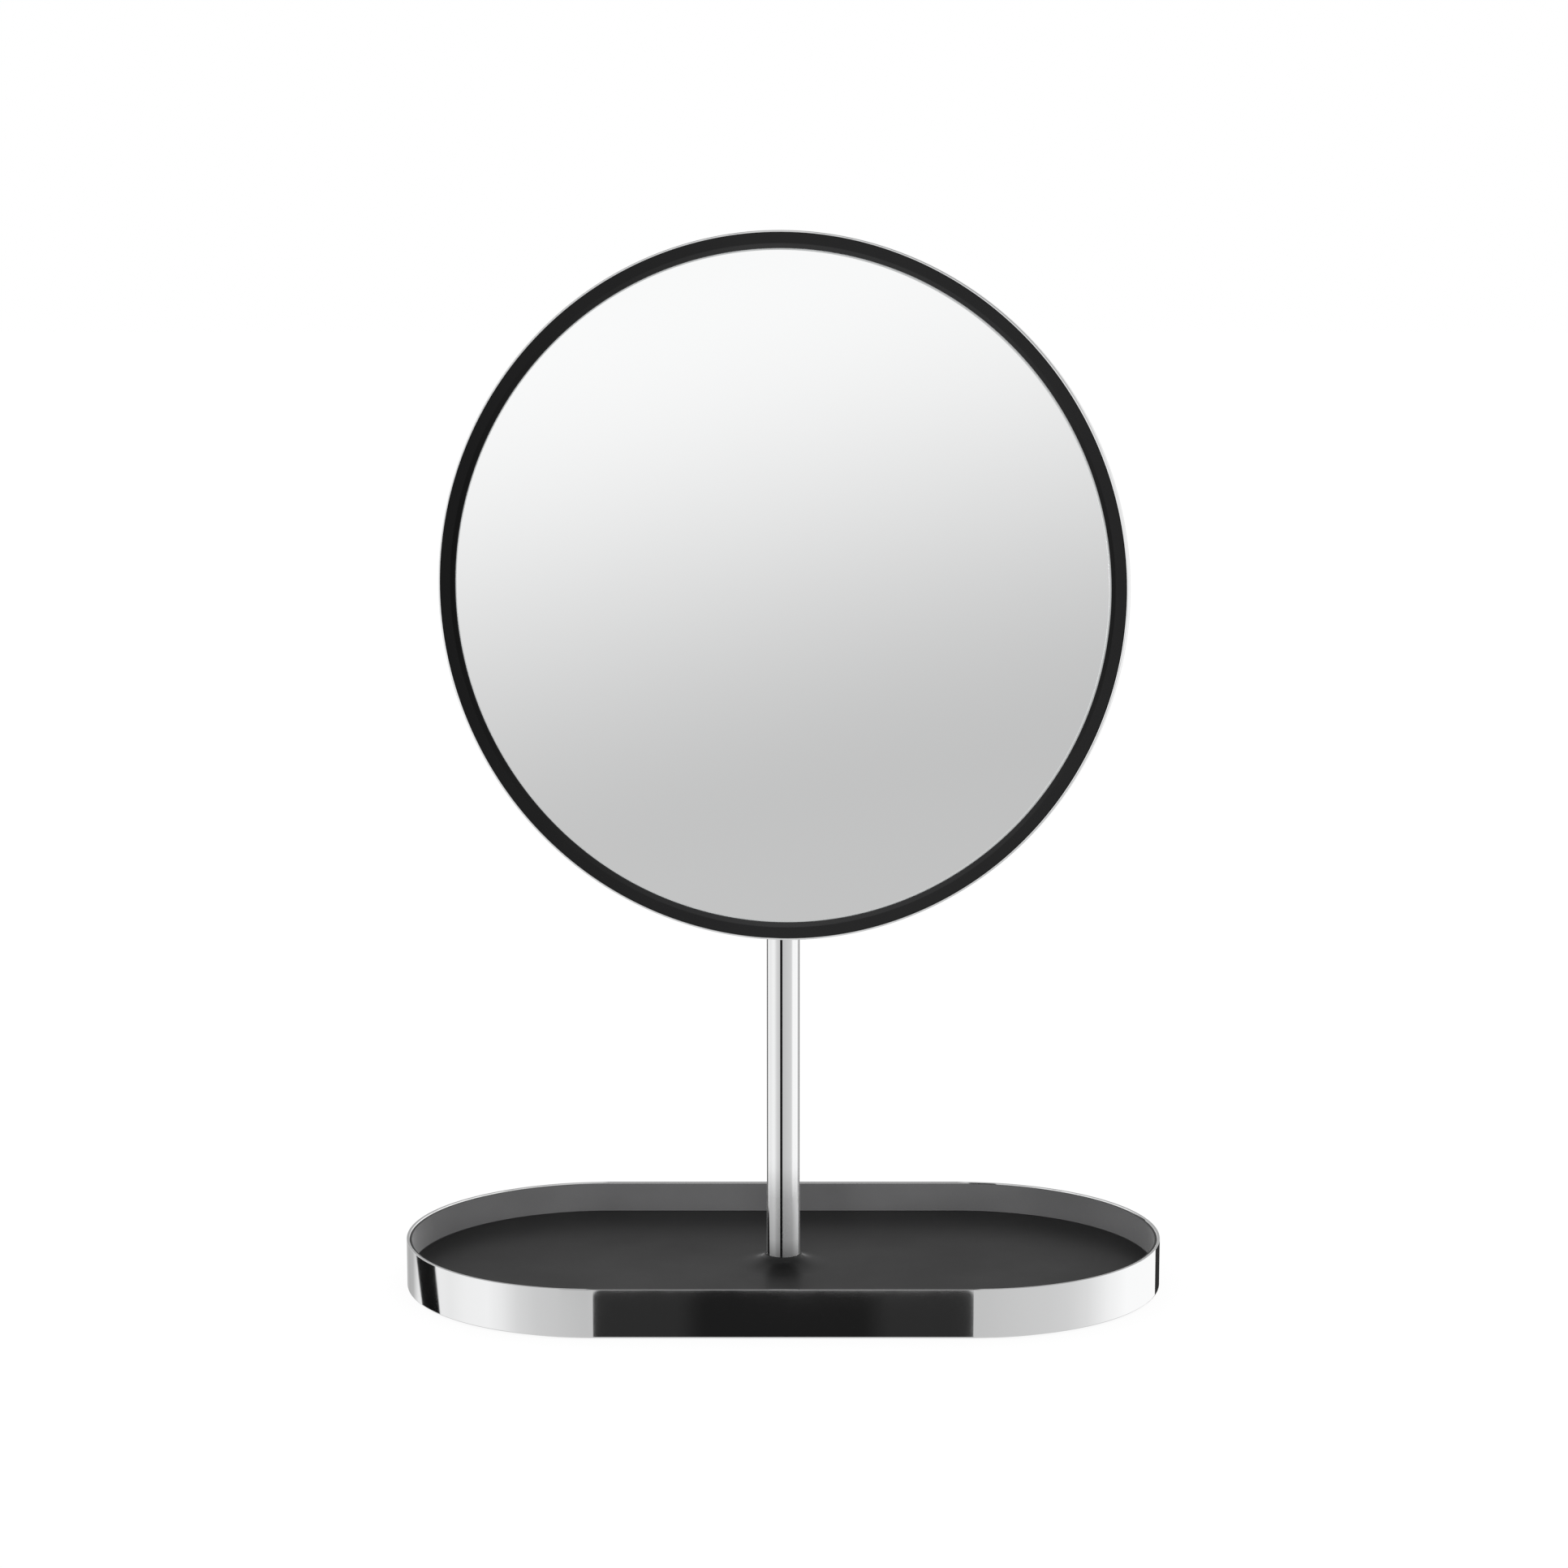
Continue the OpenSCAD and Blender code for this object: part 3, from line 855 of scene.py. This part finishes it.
def black_card(name, points, longest, shade):
    """Black card that shows only in polished faces, and only along reflections no longer than longest.

    shade makes the card's level of light from its node graph.
    """
    mesh = bpy.data.meshes.new(name)
    mesh.from_pydata(points, [], [tuple(range(len(points)))])
    card = new_object(name, mesh)
    material, g = new_graph(name)
    far = g.math("GREATER_THAN", g.node("ShaderNodeLightPath").outputs["Ray Length"], longest)
    g.output(g.mix_shader(far, g.glow(shade(g)), g.clear()))
    mesh.materials.append(material)
    card.visible_camera = False
    card.visible_diffuse = False
    card.visible_shadow = False
    card.visible_transmission = False


def add_front_card():
    """Card low in front of the tray, which mirrors it as the dark field on its straight front.

    Its outline is the field's, thrown out from the lens.
    """
    reach, radius, _, high = tray_sizes()
    lens = bpy.context.scene.camera.location
    stand_off = 0.3
    card_height = 0.1
    corner = 3.6 * MM
    throw = 1 + stand_off / (-radius - lens.y)
    half = (reach + 0.1 * MM) * throw
    top = lens.z + (high - lens.z) * throw + 0.3 * MM
    low = top - card_height
    outline = rounded([(half, low, 0), (half, top, corner), (-half, top, corner), (-half, low, 0)])
    points = [(x, -radius - stand_off, z) for x, z in outline]

    def shade(g):
        """A little lighter towards both ends."""
        across = g.math("ABSOLUTE", g.split(g.position())[0])
        return g.remap(across, (0.4 * half, 0.58 * half), (0.012, 0.025), smooth=True)

    black_card("front_card", points, stand_off + 0.03, shade)


def add_side_card():
    """Card behind the tray's right end, which mirrors it as a dark line along its outline."""
    reach, radius, _, _ = tray_sizes()
    stand_off = 0.1
    depth = 0.05
    ends = []
    # From where on the tray's end, in degrees from its front, and which way, in degrees from the back
    for turn, bearing in ((72.6, 29.1), (84.3, 3.0)):
        turn = math.radians(turn)
        bearing = math.radians(bearing)
        ends.append((
            reach + radius * math.sin(turn) + stand_off * math.sin(bearing),
            -radius * math.cos(turn) + stand_off * math.cos(bearing),
        ))
    (x0, y0), (x1, y1) = ends
    points = [(x0, y0, -depth), (x1, y1, -depth), (x1, y1, 0.0), (x0, y0, 0.0)]
    black_card("side_card", points, stand_off + 0.03, lambda g: 0.03)


def panel(g, below, at, half, corner, level, soft, lean=0.0, widen=0.0):
    """A soft-edged rounded panel of light or dark on the studio's surround.

    at, half and corner are (azimuth, elevation), in degrees: its middle, its half size and its corners'
    half size. soft is the share of the corner that fades. lean slides it sideways and widen makes it
    wider, both in degrees for each degree upwards.
    """
    azimuth, elevation = g.directions
    above = g.math("SUBTRACT", elevation, at[1])
    across = g.math("SUBTRACT", azimuth, g.math("MULTIPLY", above, lean))
    half_w = g.math("ADD", g.math("MULTIPLY", above, widen), half[0])
    dx = g.math("ABSOLUTE", g.math("SUBTRACT", across, at[0]))
    dx = g.math("SUBTRACT", dx, g.math("SUBTRACT", half_w, corner[0]))
    dy = g.math("SUBTRACT", g.math("ABSOLUTE", above), half[1] - corner[1])
    dx = g.math("DIVIDE", g.math("MAXIMUM", dx, 0.0), corner[0])
    dy = g.math("DIVIDE", g.math("MAXIMUM", dy, 0.0), corner[1])
    distance = g.math("SQRT", g.math("ADD", g.math("MULTIPLY", dx, dx), g.math("MULTIPLY", dy, dy)))
    mask = g.remap(distance, (1.0 - soft, 1.0), (1.0, 0.0), smooth=True)
    return g.blend(mask, below, level)


def wall_light(g):
    """Light of the studio's wall, by azimuth: 0 is the camera's side, positive to its right."""
    stops = [
        (-180, 0.6), (-164, 0.5), (-157, 0.42), (-146, 0.46), (-136, 0.8), (-122, 0.88), (-98, 0.82),
        (-84, 0.88), (-68, 0.9), (-58, 0.82), (-48, 0.68), (-36, 0.605), (-8, 0.535), (8, 0.545),
        (30, 0.585), (48, 0.61), (60, 0.64), (74, 0.72), (90, 0.88), (108, 0.98), (150, 0.98), (180, 0.7),
    ]
    azimuth = g.directions[0]
    turn = g.remap(azimuth, (-180.0, 180.0), (0.0, 1.0))
    return g.grey_ramp(turn, [((angle + 180) / 360, level) for angle, level in stops])


def brighten_ahead(g, light, off_glass):
    """Brightens the wall upwards, sooner to the left, as the glass shows it."""
    ahead = g.math("MINIMUM", g.math("MAXIMUM", off_glass, -10.0), 10.0)
    rise = g.math("SUBTRACT", g.directions[1], g.math("MULTIPLY", ahead, 0.26))
    light = g.math("ADD", light, g.remap(rise, (-3.0, 5.2), (0.0, 0.43), smooth=True))
    return g.math("MINIMUM", light, 1.05)


def dim_out_of_sight(g, light, off_glass):
    """Dims the sides, the ceiling and the ground, where nothing in the photo mirrors them."""
    elevation = g.directions[1]
    aside = g.remap(g.math("ABSOLUTE", off_glass), (34.0, 60.0), (0.0, 1.0), smooth=True)
    aside = g.math("MULTIPLY", aside, g.remap(elevation, (-8.0, -1.0), (0.0, 1.0), smooth=True))
    upper = g.math("MAXIMUM", aside, g.remap(elevation, (9.0, 22.0), (0.0, 1.0), smooth=True))
    light = g.blend(upper, light, g.remap(elevation, (-8.0, 60.0), (0.86, 0.3), smooth=True))
    return g.blend(g.remap(elevation, (-17.7, -32.0), (0.0, 1.0), smooth=True), light, 0.6)


def dim_behind(g, light):
    """Dims the wall behind the object and above it, which gives the tray's floor its quiet sheen."""
    azimuth, elevation = g.directions
    behind = g.remap(g.math("ABSOLUTE", azimuth), (135.0, 155.0), (0.0, 1.0), smooth=True)
    above = g.remap(elevation, (3.0, 10.0), (0.0, 1.0), smooth=True)
    return g.blend(g.math("MULTIPLY", behind, above), light, 0.4)


def add_surround():
    """Studio surround. Polished parts see soft panels and dark flags; the lens sees plain white."""
    world = bpy.data.worlds.new("studio")
    world.use_nodes = True
    bpy.context.scene.world = world
    g = Graph(world.node_tree)
    x, y, z = g.split(g.node("ShaderNodeTexCoord").outputs["Generated"])
    azimuth = g.math("DEGREES", g.math("ARCTAN2", x, g.math("MULTIPLY", y, -1.0)))
    g.directions = (azimuth, g.math("DEGREES", g.math("ARCSINE", z)))

    # The glass mirrors the wall at twice the head's turn from the lens
    glass_azimuth = 2 * math.degrees(math.atan2(HEAD.col[0].y, HEAD.col[0].x))
    off_glass = g.math("SUBTRACT", azimuth, glass_azimuth)
    light = dim_out_of_sight(g, brighten_ahead(g, wall_light(g), off_glass), off_glass)

    # The post's right side: a pale panel, then a dimmer one
    light = panel(g, light, (84.0, -11.5), (28.0, 4.2), (20.0, 0.5), 0.95, soft=0.9)
    light = panel(g, light, (126.0, -11.5), (8.0, 4.2), (5.0, 0.5), 0.56, soft=0.8)
    # The dark stripe down the post, and the dark bar at the left end of the tray's band
    light = panel(g, light, (-13.5, -11.9), (9.5, 4.72), (4.0, 0.1), 0.006, soft=0.6)
    light = panel(g, light, (-118.2, -17.1), (10.6, 1.5), (3.0, 0.3), 0.006, soft=0.35, lean=-9.5, widen=2.9)
    light = dim_behind(g, light)

    paths = g.node("ShaderNodeLightPath").outputs
    fill = 0.05  # all that a matt surface gets from the surround
    seen = g.blend(paths["Is Glossy Ray"], fill, light)
    seen = g.blend(paths["Is Camera Ray"], seen, 1.0)
    background = g.node("ShaderNodeBackground", Color=seen, Strength=1.0)
    output = g.tree.nodes.new("ShaderNodeOutputWorld")
    g.tree.links.new(background.outputs[0], output.inputs[0])


def add_soft_lights():
    """Low soft lights: one over the lens and one on each side. They light the walls more than the floor."""
    width = 1.2
    height = 0.3
    for name, place, energy in (
        ("front_light", (-0.2, -2.0, 0.3), 22.0),
        ("left_light", (-2.0, -0.7, 0.3), 24.0),
        ("right_light", (2.0, -0.7, 0.3), 32.0),
    ):
        data = bpy.data.lights.new(name, "AREA")
        data.shape = "RECTANGLE"
        data.size = width
        data.size_y = height
        data.energy = energy
        light = new_object(name, data)
        light.location = place
        light.rotation_euler = (-light.location).to_track_quat("-Z", "Y").to_euler()
        light.visible_glossy = False


finish_cad_nodes()
hide_underside()
build_tray_band()
build_tray_inner()
build_post()
build_glass()
build_ring()
build_pan()
add_camera()
add_floor()
add_front_card()
add_side_card()
add_surround()
add_soft_lights()
bpy.context.scene.view_settings.view_transform = "Standard"
